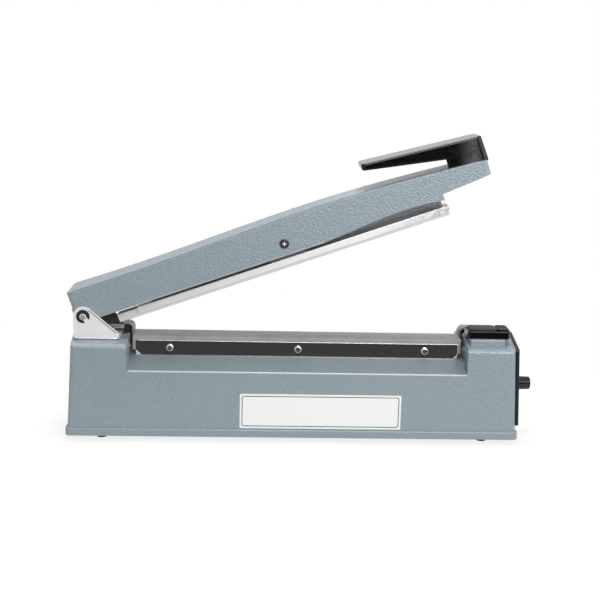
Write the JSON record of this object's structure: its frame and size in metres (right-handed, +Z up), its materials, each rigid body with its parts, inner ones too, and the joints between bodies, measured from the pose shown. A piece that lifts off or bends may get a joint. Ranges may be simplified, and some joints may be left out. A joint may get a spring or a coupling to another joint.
{
  "type": "bag sealer",
  "caption": "Bench-top hand impulse bag sealer with a raised hinged arm, rocking press bar, heated seal bar, press cap and timer knob.",
  "frame": {"origin": "on the floor plane under the middle of the whole machine's box", "axes": "+X along the seal towards the handle end, +Y to the back, +Z up; the machine stands on its feet with the arm raised"},
  "size_m": [0.4504, 0.084, 0.2919],
  "materials": {
    "enamel": "cast, coated with grey hammertone enamel",
    "zinc": "bright zinc plate",
    "steel": "plain steel",
    "polished": "mirror polished",
    "black_screw": "black oxide",
    "bar_metal": "satin extrusion",
    "brass": "plain",
    "cloth": "coated glass cloth, satin",
    "silicone": "matte",
    "black_plastic": "glossy moulding",
    "black_panel": "satin",
    "grey_plastic": "matte moulding",
    "foot_rubber": "matte",
    "label": "plain white with a thin border",
    "lamp": "translucent lens",
    "board": "satin",
    "copper": "enamelled winding",
    "core": "stacked laminations"
  },
  "bodies": {
    "base": {"backing_tape": "cloth", "base_housing": "enamel", "board_components": "black_panel", "board_spacers": "brass", "bottom_plate": "zinc", "bracket_screws": "steel", "clamp_screws": "steel", "clamp_strip_front": "polished", "clamp_strip_rear": "polished", "cord_gland": "black_panel", "end_panel": "black_panel", "foot_screws": "steel", "heating_ribbon": "steel", "hinge_bracket": "zinc", "hinge_pin": "steel", "indicator_lamp": "lamp", "label_plate": "label", "lift_spring": "steel", "microswitch": "grey_plastic", "panel_screws": "black_screw", "pin_clips": "black_screw", "rubber_feet": "foot_rubber", "seal_bar": "bar_metal", "seal_cloth": "cloth", "strap_screws": "steel", "switch_housing": "black_plastic", "terminal_post_left": "grey_plastic", "terminal_post_right": "grey_plastic", "terminal_springs": "steel", "timer_board": "board", "timer_potentiometer": "steel", "transformer_coil": "copper", "transformer_core": "core", "transformer_strap": "zinc"},
    "arm": {"arm_channel": "enamel", "hinge_bushes": "brass", "handle": "black_plastic", "handle_screws": "steel", "rocking_screw": "steel", "rocking_nut": "steel", "rocking_spacers": "zinc"},
    "press_bar": {"press_bar": "bar_metal", "silicone_strip": "silicone", "bar_saddle": "zinc", "saddle_screws": "steel"},
    "press_cap": {"switch_cap": "black_plastic"},
    "timer": {"timer_knob": "black_plastic", "timer_shaft": "steel"}
  },
  "joints": [
    {"name": "arm_hinge", "type": "hinge", "parent": "base", "child": "arm", "pos_m": [-0.20834, 0, 0.117], "axis": [0, 1, 0], "range_deg": [0, 18.8], "stiffness_Nm_per_rad": 4, "springref_deg": -28.65},
    {"name": "bar_rock", "type": "hinge", "parent": "arm", "child": "press_bar", "pos_m": [-0.02142, 0, 0.18829], "axis": [0, 1, 0], "range_deg": [0, 1.5]},
    {"name": "cap_press", "type": "slide", "parent": "base", "child": "press_cap", "axis": [0, 0, 1], "range_m": [-0.002, 0], "stiffness_N_per_m": 800, "springref_m": 0.0012},
    {"name": "timer_turn", "type": "hinge", "parent": "base", "child": "timer", "pos_m": [0.20576, 0, 0.0496], "axis": [1, 0, 0], "range_deg": [0, 270]}
  ]
}
